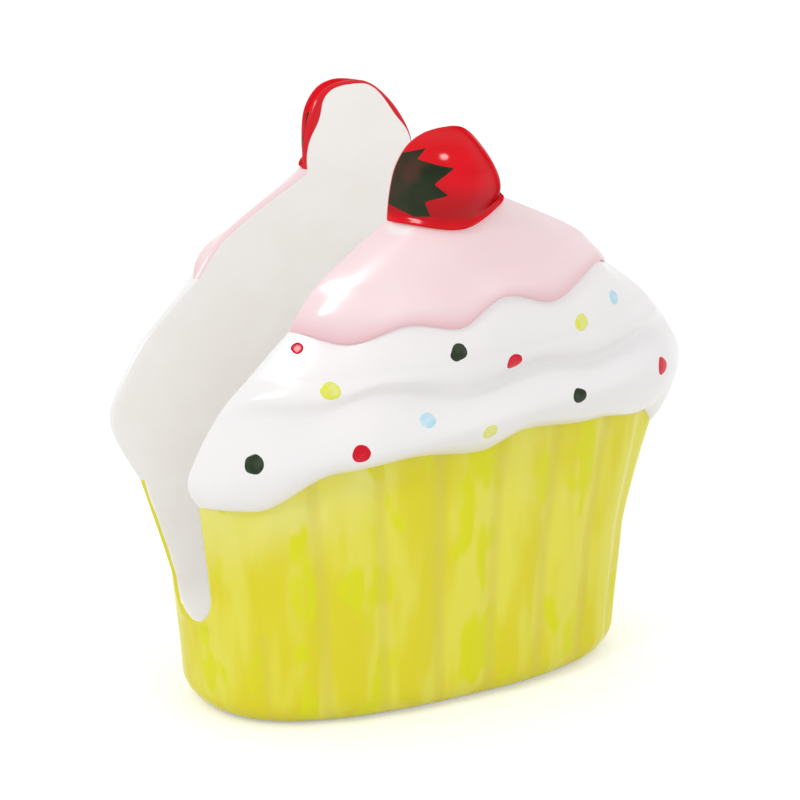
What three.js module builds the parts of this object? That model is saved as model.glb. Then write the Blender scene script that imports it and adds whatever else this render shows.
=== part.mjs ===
// Ceramic napkin holder shaped as a frosted cupcake that the napkin slot cuts into two leaves.
// Millimetres, +Z up, origin on the table under the middle of the foot, front leaf towards -Y.
// The back leaf is the front leaf turned half a turn about Z, with a cherry of its own shape.
import * as THREE from 'three';

const { lerp, smoothstep } = THREE.MathUtils;

// Clay: the wall of every hollow piece, and the gap left at every seam between two pieces.
const WALL = 4;
const SEAM = 0.3;

// Slot for the napkins: a rounded floor, then two flat faces that lean apart up to the very top.
const SLOT_FLOOR_HEIGHT = 23.5;
const SLOT_FLOOR_RADIUS = 8;
const SLOT_TOP_HALF_WIDTH = 23;
const TOP_HEIGHT = 139.8;

// Foot of the wrapper, measured just above its rounded bottom edge, and the plate that closes it.
const FOOT_HALF_LENGTH = 55.5;
const FOOT_DEPTH = 30;
const FOOT_EDGE_RADIUS = 7.5;
const FOOT_SQUARENESS = 2.5;
const BASE_THICKNESS = 4;
const DRAIN_RADIUS = 5;

// Wrapper: each end leans out by this much per millimetre below the slot, then flares to its top.
const WRAPPER_LEAN = 0.1;
const WRAPPER_FLARE = 1.1;
const PLEATS = 10;
const PLEAT_DEPTH = 1;

// How far each upper layer stands proud of the one below it at the front.
const ICING_LIP = 1.5;
const TIER_LIP = 0.6;
const TOPPING_LIP = 0.8;
const CHERRY_LIP = 0.8;

// Stations of a leaf from the wrapper's top to the cherry's top. In plan, each is part of an oval that
// the slot cuts. left and right are the lengths of the slot face towards its two ends, leftZ and
// rightZ the heights of those ends, and thick is measured from the slot face to the front. A
// squareness of 2 is an ellipse, and more is squarer. A wave lifts the station between its ends: each
// pair is a place along the front, from -1 at the left end to 1 at the right end, and the rise of a
// crest or a dip there.
const WRAPPER_TOP = {
  left: 62, leftZ: 55.5, right: 63.6, rightZ: 55, thick: 20, squareness: 2.5,
  wave: [[-0.85, 0], [-0.55, 8.5], [-0.27, 10], [0.03, 8], [0.22, 11.5], [0.55, 9.5], [0.86, 6.5]],
};
const LOWER_BULGE = {
  left: 65, leftZ: 63, right: 70.6, rightZ: 70, thick: 25.5, squareness: 2.3,
  wave: [[-0.5, 4], [0.3, 6], [0.7, 4.5]],
};
const CREASE = {
  left: 58.5, leftZ: 77.5, right: 65.4, rightZ: 81.5, thick: 20.5, squareness: 2.3,
  wave: [[-0.5, 3.2], [-0.04, -1.8], [0.25, 2.5], [0.5, -0.9], [0.8, 1.2]],
};
const UPPER_BULGE = {
  left: 50, leftZ: 86.5, right: 57.4, rightZ: 90.4, thick: 21.5, squareness: 2.2,
  wave: [],
};
const TOPPING_EDGE = {
  left: 41, leftZ: 95.5, right: 46, rightZ: 99.4, thick: 19.5, squareness: 2.2,
  wave: [[-0.78, -2], [-0.45, 0.6], [-0.15, -2], [0.1, 2.8], [0.47, -0.8], [0.8, 3.3]],
};
const TOPPING_BULGE = {
  left: 34.1, leftZ: 106, right: 36.8, rightZ: 109, thick: 16.5, squareness: 2.1,
  wave: [],
};
const CHERRY_BASE = {
  left: 16.9, leftZ: 119, right: 14.2, rightZ: 120.7, thick: 12, squareness: 2,
  wave: [[-0.2, -2], [0.5, 0.5]],
};

// Upper stations that the two cherries share, and their ends: the front one has a fuller left shoulder.
const CHERRY_SIDE = { leftZ: 125, rightZ: 125, thick: 15, squareness: 2, wave: [] };
const CHERRY_MIDDLE = { leftZ: 131.5, rightZ: 131.5, thick: 15.5, squareness: 2, wave: [] };
const CHERRY_SHOULDER = { leftZ: 136.5, rightZ: 136.5, thick: 11.5, squareness: 2, wave: [] };
const CHERRY_TOP = { leftZ: TOP_HEIGHT, rightZ: TOP_HEIGHT, thick: 6.5, squareness: 2, wave: [] };
const FRONT_SIDE = { ...CHERRY_SIDE, left: 16.8, right: 14, rightZ: 125.5 };
const FRONT_MIDDLE = { ...CHERRY_MIDDLE, left: 15.8, right: 10.2, rightZ: 131 };
const FRONT_SHOULDER = { ...CHERRY_SHOULDER, left: 12, right: 5.4 };
const FRONT_TOP = { ...CHERRY_TOP, left: 5, right: 1.5 };
const BACK_SIDE = { ...CHERRY_SIDE, left: 16.6, right: 13.7 };
const BACK_MIDDLE = { ...CHERRY_MIDDLE, left: 13.4, right: 12 };
const BACK_SHOULDER = { ...CHERRY_SHOULDER, left: 9.2, right: 9.3 };
const BACK_TOP = { ...CHERRY_TOP, left: 3.5, right: 4 };

// Layers of a leaf above the wrapper, each from the station that it sits on to the one that it reaches.
const LOWER_ICING = [WRAPPER_TOP, LOWER_BULGE, CREASE];
const UPPER_ICING = [CREASE, UPPER_BULGE, TOPPING_EDGE];
const TOPPING = [TOPPING_EDGE, TOPPING_BULGE, CHERRY_BASE];
const FRONT_CHERRY = [CHERRY_BASE, FRONT_SIDE, FRONT_MIDDLE, FRONT_SHOULDER, FRONT_TOP];
const BACK_CHERRY = [CHERRY_BASE, BACK_SIDE, BACK_MIDDLE, BACK_SHOULDER, BACK_TOP];

// Fineness of the facets.
const SEGMENTS_PER_PLEAT = 4;
const SEGMENTS = PLEATS * SEGMENTS_PER_PLEAT;
const ROWS_PER_STATION = 3;
const FLARE_ROWS = 4;
const FOOT_EDGE_STEPS = 3;
const FLOOR_STEPS = 5;
const DRAIN_SEGMENTS = 24;

const SLOT_CENTRE_HEIGHT = SLOT_FLOOR_HEIGHT + SLOT_FLOOR_RADIUS;
const FLOOR_STEP_ANGLE = Math.PI / 2 / FLOOR_STEPS;

// Half width of the slot at a height, with the whole slot grown outwards by an offset.
function slotHalf(z, offset) {
  const radius = SLOT_FLOOR_RADIUS + offset;
  const drop = SLOT_CENTRE_HEIGHT - z;
  if (drop >= radius) return 0;
  if (drop > 0) return Math.sqrt(radius ** 2 - drop ** 2);
  const lean = (SLOT_TOP_HALF_WIDTH - SLOT_FLOOR_RADIUS) / (TOP_HEIGHT - SLOT_CENTRE_HEIGHT);
  return radius - drop * lean;
}

// Where the pieces of a leaf start, behind the liner. Below the slot the two wrappers meet at a seam.
function leafStart(z) {
  return Math.max(slotHalf(z, WALL + SEAM), SEAM / 2);
}

// Share of an oval's half length that is left at a distance from its middle line. The distance is
// given as a share of the oval's depth.
function narrowing(share, squareness) {
  return (1 - Math.min(1, share) ** squareness) ** (1 / squareness);
}

// Half length of a row at a distance from the mid-plane.
function halfAt(row, distance) {
  return row.half * narrowing(distance / row.depth, row.squareness);
}

// Height of a row at a distance along it from the middle of the foot.
function heightAt(row, x) {
  const rim = halfAt(row, slotHalf((row.leftZ + row.rightZ) / 2, 0));
  const along = x < 0 ? x / (rim - row.centre) : x / (rim + row.centre);
  return lerp(row.leftZ, row.rightZ, (1 + along) / 2) + row.wave(along);
}

// Half length of the hollow inside a half length of the outer face. It stays above zero at any size.
function hollowHalf(half) {
  return half ** 2 / (half + WALL);
}

// A place round half a rounded oblong. along runs from -1 at the left end to 1 at the right end, and
// out from 0 at the ends to 1 at the front.
function placeAt(angle, squareness) {
  const cosine = Math.cos(angle);
  const power = 2 / squareness;
  return {
    along: -Math.sign(cosine) * Math.abs(cosine) ** power,
    out: Math.abs(Math.sin(angle)) ** power,
  };
}

class HalfSection extends THREE.Curve {
  getPoint(t, target = new THREE.Vector3()) {
    const { along, out } = placeAt(Math.PI * t, FOOT_SQUARENESS);
    return target.set(FOOT_HALF_LENGTH * along, -FOOT_DEPTH * out, 0);
  }
}

// Shares of the half turn that space the points of a section evenly round the foot.
const FOOT_SECTION = new HalfSection();
const EVEN_SHARES = Array.from(
  { length: SEGMENTS + 1 },
  (_, step) => FOOT_SECTION.getUtoTmapping(step / SEGMENTS),
);

// Share of the way round the foot at an angle of its section.
function wayRound(angle) {
  const lengths = FOOT_SECTION.getLengths();
  const position = (angle / Math.PI) * (lengths.length - 1);
  const below = Math.min(Math.floor(position), lengths.length - 2);
  return lerp(lengths[below], lengths[below + 1], position - below) / lengths.at(-1);
}

// Rise of a wavy edge at a place along the front: smooth between its crests and dips, flat at both ends.
function rise(wave, along) {
  const points = [[-1, 0], ...wave, [1, 0]];
  const next = Math.max(1, points.findIndex(([place]) => place >= along));
  const [startPlace, start] = points[next - 1];
  const [endPlace, end] = points[next];
  return lerp(start, end, smoothstep(along, startPlace, endPlace));
}

// Rows of the layers above the wrapper: smooth curves through the stations of each layer.
function layerRows(stations) {
  const spline = (pairs) => new THREE.SplineCurve(pairs.map(([x, y]) => new THREE.Vector2(x, y)));
  const leftOutline = spline(stations.map(({ left, leftZ }) => [left, leftZ]));
  const rightOutline = spline(stations.map(({ right, rightZ }) => [right, rightZ]));
  const section = spline(stations.map(({ thick, squareness }) => [thick, squareness]));
  const count = (stations.length - 1) * ROWS_PER_STATION;
  return Array.from({ length: count + 1 }, (_, step) => {
    const left = leftOutline.getPoint(step / count);
    const right = rightOutline.getPoint(step / count);
    const below = Math.min(Math.floor(step / ROWS_PER_STATION), stations.length - 2);
    const share = step / ROWS_PER_STATION - below;
    const [lower, upper] = [stations[below].wave, stations[below + 1].wave];
    const { x: thick, y: squareness } = section.getPoint(step / count);
    const slot = slotHalf((left.y + right.y) / 2, 0);
    const depth = slot + thick;
    return {
      centre: (right.x - left.x) / 2,
      half: (left.x + right.x) / 2 / narrowing(slot / depth, squareness),
      leftZ: left.y,
      rightZ: right.y,
      depth,
      wave: (along) => lerp(rise(lower, along), rise(upper, along), share),
      squareness,
    };
  });
}

// Rows of the wrapper

const [WRAPPER_TOP_ROW] = layerRows(LOWER_ICING);
const TABLE_HALF_LENGTH = FOOT_HALF_LENGTH - FOOT_EDGE_RADIUS;
const TABLE_DEPTH = FOOT_DEPTH - FOOT_EDGE_RADIUS;

function flatRow(half, z, depth, pleat, squareness) {
  return { centre: 0, half, leftZ: z, rightZ: z, depth, wave: () => 0, pleat, squareness };
}

// The rounded bottom edge. Up to the top of the base plate its inner side is the plate's seat.
function footRow(angle) {
  const inset = FOOT_EDGE_RADIUS * (1 - Math.sin(angle));
  const z = FOOT_EDGE_RADIUS * (1 - Math.cos(angle));
  const pleat = PLEAT_DEPTH * smoothstep(z, 0, FOOT_EDGE_RADIUS);
  const row = flatRow(FOOT_HALF_LENGTH - inset, z, FOOT_DEPTH - inset, pleat, FOOT_SQUARENESS);
  if (z < BASE_THICKNESS) row.seat = { half: TABLE_HALF_LENGTH, depth: TABLE_DEPTH };
  return row;
}

function levelRow(z) {
  const half = FOOT_HALF_LENGTH + WRAPPER_LEAN * (z - FOOT_EDGE_RADIUS);
  const share = (z - FOOT_EDGE_RADIUS) / (WRAPPER_TOP.leftZ - FOOT_EDGE_RADIUS);
  const depth = lerp(FOOT_DEPTH, WRAPPER_TOP_ROW.depth, share);
  return flatRow(half, z, depth, PLEAT_DEPTH, lerp(FOOT_SQUARENESS, WRAPPER_TOP.squareness, share));
}

// The notch in each end of the wrapper, which the rounded floor of the liner passes through.
function notchRow(step) {
  const radius = SLOT_FLOOR_RADIUS + WALL + SEAM;
  return levelRow(SLOT_CENTRE_HEIGHT - radius * Math.cos(step * FLOOR_STEP_ANGLE));
}

// From the middle of the slot's rounded floor, share 0, up to the wrapper's wavy top edge, share 1.
function flareRow(share) {
  const start = levelRow(SLOT_CENTRE_HEIGHT);
  const flare = share ** WRAPPER_FLARE;
  return {
    ...start,
    centre: WRAPPER_TOP_ROW.centre * flare,
    half: lerp(start.half, WRAPPER_TOP_ROW.half, flare),
    leftZ: lerp(SLOT_CENTRE_HEIGHT, WRAPPER_TOP.leftZ, share),
    rightZ: lerp(SLOT_CENTRE_HEIGHT, WRAPPER_TOP.rightZ, share),
    depth: lerp(start.depth, WRAPPER_TOP_ROW.depth, share),
    wave: (along) => share * WRAPPER_TOP_ROW.wave(along),
    squareness: lerp(start.squareness, WRAPPER_TOP.squareness, share),
  };
}

// Solids

// Depth of the pleats at an angle of the section, as a share: ridges with a groove between two of them.
function groove(angle) {
  return (1 - Math.cos(2 * Math.PI * PLEATS * wayRound(angle))) / 2;
}

// The outer and inner points of one row of a leaf. A filled row has its inner points on a flat back.
function leafRing(row) {
  const { centre, half, depth, squareness, filled = false, lift = 0, lip = 0, pleat = 0, seat = row } = row;
  const hollowDepth = seat.depth - WALL;
  const startAngle = (z, ovalDepth) => Math.asin(Math.min(1, leafStart(z) / ovalDepth) ** (squareness / 2));
  const angleAt = (share, ovalDepth) => {
    const leftAngle = startAngle(row.leftZ + lift, ovalDepth);
    return lerp(leftAngle, Math.PI - startAngle(row.rightZ + lift, ovalDepth), share);
  };
  const outer = [];
  const inner = [];
  EVEN_SHARES.forEach((share) => {
    const angle = angleAt(share, depth);
    const { along, out } = placeAt(angle, squareness);
    const z = heightAt(row, centre + half * along) + lift;
    const face = new THREE.Vector3(centre + half * along, -depth * out, z);
    const back = new THREE.Vector3(centre, -leafStart(z), z);
    if (filled) {
      back.x += hollowHalf(halfAt(row, -back.y)) * placeAt(Math.PI * share, squareness).along;
    } else {
      const inside = placeAt(angleAt(share, hollowDepth), squareness);
      back.x += hollowHalf(seat.half) * inside.along;
      back.y = -hollowDepth * inside.out;
    }
    const outward = face.clone().sub(back).normalize();
    outer.push(face.addScaledVector(outward, lip * out - pleat * groove(angle)));
    inner.push(back);
  });
  return { outer, inner };
}

// Closed solid through a stack of rings. Each ring runs along its outer points and back along its
// inner ones.
function loft(rings) {
  const count = rings[0].outer.length;
  const loop = 2 * count;
  const points = rings.flatMap(({ outer, inner }) => [...outer, ...inner.toReversed()]);
  const index = [];
  const quad = (a, b, c, d) => index.push(a, b, c, a, c, d);
  for (let start = 0; start + loop < points.length; start += loop) {
    for (let j = 0; j < loop; j += 1) {
      const next = (j + 1) % loop;
      quad(start + j, start + next, start + loop + next, start + loop + j);
    }
  }
  const last = points.length - loop;
  for (let j = 0; j + 1 < count; j += 1) {
    const across = loop - 1 - j;
    quad(j, across, across - 1, j + 1);
    quad(last + j, last + j + 1, last + across - 1, last + across);
  }
  const geometry = new THREE.BufferGeometry().setFromPoints(points);
  geometry.setIndex(index);
  geometry.computeVertexNormals();
  return geometry;
}

// Layer of a leaf, half a seam short of the layers below and above it.
function layer(stations, lip) {
  const rows = layerRows(stations);
  Object.assign(rows[0], { lip, lift: SEAM / 2 });
  rows.at(-1).lift = -SEAM / 2;
  return loft(rows.map(leafRing));
}

// The cherry is clay all through, so that it closes the hollow of its leaf.
function cherry(stations) {
  const [base, ...rows] = layerRows(stations);
  Object.assign(base, { lip: CHERRY_LIP, lift: SEAM / 2 });
  return loft([leafRing(base), ...rows.map((row) => leafRing({ ...row, filled: true }))]);
}

function wrapper() {
  const rows = [];
  for (let step = 0; step <= FOOT_EDGE_STEPS; step += 1) {
    rows.push(footRow((Math.PI / 2) * (step / FOOT_EDGE_STEPS)));
  }
  for (let step = 0; step < FLOOR_STEPS; step += 1) {
    rows.push(notchRow(step));
  }
  for (let step = 0; step <= FLARE_ROWS; step += 1) {
    rows.push(flareRow(step / FLARE_ROWS));
  }
  rows.at(-1).lift = -SEAM / 2;
  return loft(rows.map(leafRing));
}

// One ring of the liner: its slot face as the outer points and its hidden face as the inner ones.
function linerRing(row) {
  const end = (side, z, offset) => {
    const distance = slotHalf(z, offset);
    return new THREE.Vector3(row.centre + side * halfAt(row, distance), -distance, z);
  };
  const face = (offset) => [end(-1, row.leftZ, offset), end(1, row.rightZ, offset)];
  return { outer: face(0), inner: face(WALL) };
}

// One ring of the liner's rounded floor, at an angle from its lowest line towards the front.
function floorRing(angle) {
  const face = (offset) => {
    const radius = SLOT_FLOOR_RADIUS + offset;
    const distance = radius * Math.sin(angle);
    const z = SLOT_CENTRE_HEIGHT - radius * Math.cos(angle);
    const half = halfAt(levelRow(z), distance);
    return [new THREE.Vector3(-half, -distance, z), new THREE.Vector3(half, -distance, z)];
  };
  return { outer: face(0), inner: face(WALL) };
}

// The same ring on the back leaf: half a turn about Z swaps its left and right ends.
function turnedRing({ outer, inner }) {
  const turn = (points) => points.map((p) => new THREE.Vector3(-p.x, -p.y, p.z)).reverse();
  return { outer: turn(outer), inner: turn(inner) };
}

// Rings of the liner from beside its lowest line up one slot face to the top of a cherry.
function linerFace(cherryStations) {
  const rings = [];
  for (let step = 1; step < FLOOR_STEPS; step += 1) {
    rings.push(floorRing(step * FLOOR_STEP_ANGLE));
  }
  for (let step = 0; step < FLARE_ROWS; step += 1) {
    rings.push(linerRing(flareRow(step / FLARE_ROWS)));
  }
  for (const stations of [LOWER_ICING, UPPER_ICING, TOPPING]) {
    rings.push(...layerRows(stations).slice(0, -1).map(linerRing));
  }
  return [...rings, ...layerRows(cherryStations).map(linerRing)];
}

// Trough that lines the slot: down the front leaf's face, round the floor and up the back leaf's face.
function slotLiner() {
  const front = linerFace(FRONT_CHERRY).toReversed();
  return loft([...front, floorRing(0), ...linerFace(BACK_CHERRY).map(turnedRing)]);
}

// Flat plate inside the wrapper's foot, with the hole that drains the mould and vents the kiln firing.
function basePlate() {
  const half = hollowHalf(TABLE_HALF_LENGTH) - SEAM;
  const depth = TABLE_DEPTH - WALL - SEAM;
  const frontHalf = EVEN_SHARES.slice(0, -1).map((share) => {
    const { along, out } = placeAt(Math.PI * share, FOOT_SQUARENESS);
    return new THREE.Vector2(half * along, -depth * out);
  });
  const backHalf = frontHalf.map((point) => point.clone().negate());
  const plan = new THREE.Shape([...frontHalf, ...backHalf]);
  plan.holes.push(new THREE.Path().absarc(0, 0, DRAIN_RADIUS, 0, 2 * Math.PI, true));
  return new THREE.ExtrudeGeometry(plan, {
    depth: BASE_THICKNESS,
    bevelEnabled: false,
    curveSegments: DRAIN_SEGMENTS,
  });
}

// Assembly

function piece(name, geometry, color, roughness) {
  const mesh = new THREE.Mesh(geometry, new THREE.MeshStandardMaterial({ color, roughness, metalness: 0 }));
  mesh.name = name;
  return mesh;
}

function leaf(side, cherryStations) {
  const group = new THREE.Group();
  group.add(piece(`wrapper_${side}`, wrapper(), 0xdedb32, 0.2));
  group.add(piece(`lower_icing_${side}`, layer(LOWER_ICING, ICING_LIP), 0xf2f2f0, 0.15));
  group.add(piece(`upper_icing_${side}`, layer(UPPER_ICING, TIER_LIP), 0xf2f2f0, 0.15));
  group.add(piece(`topping_${side}`, layer(TOPPING, TOPPING_LIP), 0xf8dee1, 0.15));
  group.add(piece(`cherry_${side}`, cherry(cherryStations), 0xd2001e, 0.1));
  return group;
}

const frontLeaf = leaf('front', FRONT_CHERRY);
const backLeaf = leaf('back', BACK_CHERRY);
backLeaf.rotation.z = Math.PI;

const napkinHolder = new THREE.Group();
napkinHolder.add(piece('base_plate', basePlate(), 0xe6dccb, 0.8));
napkinHolder.add(piece('slot_liner', slotLiner(), 0xe9e6e1, 0.15));
napkinHolder.add(frontLeaf, backLeaf);

export default napkinHolder;
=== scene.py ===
# %% [markdown]
# # A glazed cupcake napkin holder
#
# The real object is one piece of fired clay. A pleated wrapper, two tiers of icing, a pink topping and
# a cherry are cut into a front leaf and a back leaf by the slot that holds the napkins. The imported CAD
# model is the frame for everything here: it is loaded first and never moved. Each step then models one
# piece with a fine surface, glazes it, and at the end a small white studio photographs the whole.

# %% Load the frame
import math
from bisect import bisect_right
from collections import namedtuple
from functools import lru_cache

import bmesh
import bpy
from mathutils import Matrix, Vector, kdtree, noise
from mathutils.bvhtree import BVHTree


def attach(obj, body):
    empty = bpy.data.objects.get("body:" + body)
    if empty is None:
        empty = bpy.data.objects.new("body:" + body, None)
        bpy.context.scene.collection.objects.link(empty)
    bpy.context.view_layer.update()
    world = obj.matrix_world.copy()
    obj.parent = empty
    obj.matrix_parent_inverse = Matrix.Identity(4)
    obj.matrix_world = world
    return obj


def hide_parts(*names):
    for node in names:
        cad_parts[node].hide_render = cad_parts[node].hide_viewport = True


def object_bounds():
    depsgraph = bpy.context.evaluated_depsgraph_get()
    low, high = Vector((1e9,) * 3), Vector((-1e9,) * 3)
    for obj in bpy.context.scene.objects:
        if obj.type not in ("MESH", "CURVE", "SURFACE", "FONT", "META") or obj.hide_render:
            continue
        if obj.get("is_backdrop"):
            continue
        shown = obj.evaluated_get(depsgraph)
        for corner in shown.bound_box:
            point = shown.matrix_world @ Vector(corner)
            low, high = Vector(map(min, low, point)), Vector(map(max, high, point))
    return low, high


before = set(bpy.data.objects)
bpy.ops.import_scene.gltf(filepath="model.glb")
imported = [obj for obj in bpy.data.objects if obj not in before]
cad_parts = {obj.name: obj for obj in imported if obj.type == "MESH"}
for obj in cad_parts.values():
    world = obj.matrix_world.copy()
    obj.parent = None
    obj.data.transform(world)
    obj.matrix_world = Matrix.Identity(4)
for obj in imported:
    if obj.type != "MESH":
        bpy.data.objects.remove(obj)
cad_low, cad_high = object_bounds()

print("CAD box in metres:", tuple(cad_low), tuple(cad_high))

# %% [markdown]
# ## Sizes
#
# Clay objects are measured in millimetres, so the shapes are worked out in millimetres and scaled to
# Blender's metres when a vertex is placed. A leaf could be sculpted by hand, but then nothing would
# line up with the CAD. It is described by stations instead: level outlines from the wrapper's top to
# the cherry's top, each with the half length and the height of its left and right end, its thickness
# from the slot face to the front, and a wave that lifts or drops it between its two ends.

# %% Driving sizes in millimetres
MM = 0.001
WALL = 4.0
RIM_RADIUS = 1.0
SLOT_FLOOR_HEIGHT = 23.5
SLOT_FLOOR_RADIUS = 8.0
SLOT_TOP_HALF_WIDTH = 23.0
FOOT_HALF_LENGTH = 55.5
FOOT_DEPTH = 30.0
FOOT_EDGE_RADIUS = 7.5
FOOT_SQUARENESS = 2.5
WRAPPER_LEAN = 0.1
WRAPPER_FLARE = 1.1
PLEATS = 10

TOP_HEIGHT = cad_high.z / MM
SLOT_CENTRE = SLOT_FLOOR_HEIGHT + SLOT_FLOOR_RADIUS
SLOT_LEAN = (SLOT_TOP_HALF_WIDTH - SLOT_FLOOR_RADIUS) / (TOP_HEIGHT - SLOT_CENTRE)
print(f"height {TOP_HEIGHT:.1f} mm, slot faces lean {math.degrees(math.atan(SLOT_LEAN)):.1f} degrees")

# %% Stations of a leaf
Station = namedtuple("Station", "left left_z right right_z thick squareness wave", defaults=((),))

WRAPPER_TOP = Station(
    62.0, 55.5, 63.6, 55.0, 20.0, 2.5,
    ((-0.85, 0), (-0.55, 8.5), (-0.27, 10), (0.03, 8), (0.22, 11.5), (0.55, 9.5), (0.86, 6.5)),
)
LOWER_BULGE = Station(65.0, 63.0, 70.6, 70.0, 25.5, 2.3, ((-0.5, 4), (0.3, 6), (0.7, 4.5)))
CREASE = Station(
    58.5, 77.5, 65.4, 81.5, 19.2, 2.3,
    ((-0.68, -0.5), (-0.45, 3.2), (-0.04, -1.8), (0.25, 2.2), (0.5, -0.9), (0.8, 1.2)),
)
UPPER_BULGE = Station(50.0, 86.5, 57.4, 90.4, 21.5, 2.2)
TOPPING_EDGE = Station(
    41.0, 95.5, 46.0, 99.4, 19.5, 2.2,
    ((-0.76, -2.4), (-0.45, 1), (-0.15, -1.6), (0.12, 3.8), (0.45, -0.8), (0.8, 3.6)),
)
TOPPING_BULGE = Station(34.1, 106.0, 36.8, 109.0, 16.5, 2.1)
CHERRY_BASE = Station(16.9, 119.0, 14.2, 120.7, 12.0, 2.0, ((-0.2, -2), (0.5, 0.5)))
FRONT_CHERRY = (
    CHERRY_BASE,
    Station(16.8, 125.0, 13.4, 125.5, 15.0, 2.0),
    Station(15.8, 131.5, 10.2, 131.0, 15.5, 2.0),
    Station(13.0, 136.5, 5.6, 136.5, 12.0, 2.0),
    Station(9.0, 139.0, 2.4, 139.0, 7.5, 2.0),
    Station(4.8, TOP_HEIGHT, -0.4, TOP_HEIGHT, 2.0, 2.0),
)
BACK_CHERRY = (
    CHERRY_BASE,
    Station(16.6, 125.0, 13.7, 125.0, 15.0, 2.0),
    Station(13.4, 131.5, 12.0, 131.5, 15.5, 2.0),
    Station(9.2, 136.5, 9.3, 136.5, 11.5, 2.0),
    Station(5.6, 139.0, 5.8, 139.0, 7.0, 2.0),
    Station(2.2, TOP_HEIGHT, 2.2, TOP_HEIGHT, 2.0, 2.0),
)

ICING = (WRAPPER_TOP, LOWER_BULGE, CREASE, UPPER_BULGE, TOPPING_EDGE)
TOPPING = (TOPPING_EDGE, TOPPING_BULGE, CHERRY_BASE)
print(len(ICING + TOPPING + FRONT_CHERRY) - 2, "stations from the wrapper's top to the cherry's top")

# %% [markdown]
# ## The slot and the plan section
#
# The slot has a rounded floor and two flat faces that lean apart. Seen from above, the whole cupcake is
# an oval, and the slot cuts a strip out of its middle. A boolean could cut it, but it leaves thin, ragged
# faces along the cut. So a few small functions give the slot's half width at a height and a place round
# the oval, and every piece uses them, so the pieces meet. The oval is a superellipse: a squareness of 2
# is an ellipse, and more is squarer.

# %% Slot and section
def lerp(start, end, share):
    return start + (end - start) * share


def smooth(value, start, end):
    """0 before start, 1 after end, and an easy S between them."""
    share = min(1.0, max(0.0, (value - start) / (end - start)))
    return share * share * (3 - 2 * share)


def slot_half(z, grow=0.0):
    """Half width of the slot at a height, with the slot grown into the clay."""
    radius = SLOT_FLOOR_RADIUS + grow
    drop = SLOT_CENTRE - z
    if drop >= radius:
        return 0.0
    if drop > 0:
        return math.sqrt(radius**2 - drop**2)
    return radius - drop * SLOT_LEAN


def narrowing(share, squareness):
    """Share of an oval's half length that is left at a share of its depth."""
    return (1 - min(1.0, share) ** squareness) ** (1 / squareness)


def place_at(angle, squareness):
    """along is -1 at the left end and 1 at the right end, out is 0 at the ends and 1 at the front."""
    power = 2 / squareness
    cosine = math.cos(angle)
    along = -math.copysign(abs(cosine) ** power, cosine)
    return along, abs(math.sin(angle)) ** power


print(f"slot half width at its mouth: {slot_half(TOP_HEIGHT):.1f} mm")

# %% Even spacing round the foot
SECTION_STEPS = 720


def foot_place(step):
    along, out = place_at(math.pi * step / SECTION_STEPS, FOOT_SQUARENESS)
    return Vector((FOOT_HALF_LENGTH * along, FOOT_DEPTH * out))


ways = [0.0]
for step in range(SECTION_STEPS):
    ways.append(ways[-1] + (foot_place(step + 1) - foot_place(step)).length)


def way_round(angle):
    """Share of the way round the foot at an angle of the section."""
    position = angle / math.pi * SECTION_STEPS
    below = min(int(position), SECTION_STEPS - 1)
    return lerp(ways[below], ways[below + 1], position - below) / ways[-1]


@lru_cache(maxsize=None)
def even_share(share):
    """Share of the half turn that is this share of the way round the foot."""
    way = share * ways[-1]
    below = min(bisect_right(ways, way), SECTION_STEPS) - 1
    return (below + (way - ways[below]) / (ways[below + 1] - ways[below])) / SECTION_STEPS


print(f"half of the foot's outline is {ways[-1]:.0f} mm long")

# %% [markdown]
# ## Rows of a leaf
#
# A row is the outline of a leaf at one level. Rows between two stations follow a smooth curve through
# the stations, as a flexible ruler would. A row also says how far it stands proud of that curve: the
# icing's lip, the flange under the cherry and the tucked edges that hide in the layer below come from
# that one number, so neighbouring pieces overlap out of sight and meet in a clean crease.

# %% Rows
Row = namedtuple(
    "Row",
    "centre half left_z right_z depth squareness wave place proud lift pleat",
    defaults=(0.0, 0.0, 0.0, 0.0),
)


def through(values, place):
    """A smooth curve through evenly spaced values, read at a place from 0 to the last."""
    index = min(int(place), len(values) - 2)
    share = place - index
    start, end = values[index], values[index + 1]
    start_slope = (end - values[max(index - 1, 0)]) / 2
    end_slope = (values[min(index + 2, len(values) - 1)] - start) / 2
    cubic = 2 * start - 2 * end + start_slope + end_slope
    square = -3 * start + 3 * end - 2 * start_slope - end_slope
    return ((cubic * share + square) * share + start_slope) * share + start


def rise(wave, along):
    """Rise of a wavy outline: smooth between its crests and dips, and nothing at both ends."""
    points = ((-1, 0), *wave, (1, 0))
    for (start_place, start), (end_place, end) in zip(points, points[1:]):
        if along <= end_place:
            return lerp(start, end, smooth(along, start_place, end_place))
    return 0.0


def layer_row(stations, place, **more):
    """The row of a layer at a place from 0, its first station, to its last station."""
    value = {name: through([getattr(s, name) for s in stations], place) for name in Station._fields[:-1]}
    slot = slot_half((value["left_z"] + value["right_z"]) / 2)
    depth = slot + value["thick"]
    below = min(int(place), len(stations) - 2)
    waves = stations[below].wave, stations[below + 1].wave
    return Row(
        centre=(value["right"] - value["left"]) / 2,
        half=(value["left"] + value["right"]) / 2 / narrowing(slot / depth, value["squareness"]),
        left_z=value["left_z"],
        right_z=value["right_z"],
        depth=depth,
        squareness=value["squareness"],
        wave=lambda along: lerp(rise(waves[0], along), rise(waves[1], along), place - below),
        place=place,
        **more,
    )


wrapper_top_row = layer_row(ICING, 0.0)
print(f"the wrapper's top is {wrapper_top_row.depth:.1f} mm from the mid-plane at the front")

# %% Points on a leaf
RIM_EASE = 0.06
PLEAT_EASE = 0.2
WOBBLE = 0.2
WOBBLE_LENGTH = 17.0
SHORTEST = 0.01


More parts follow.
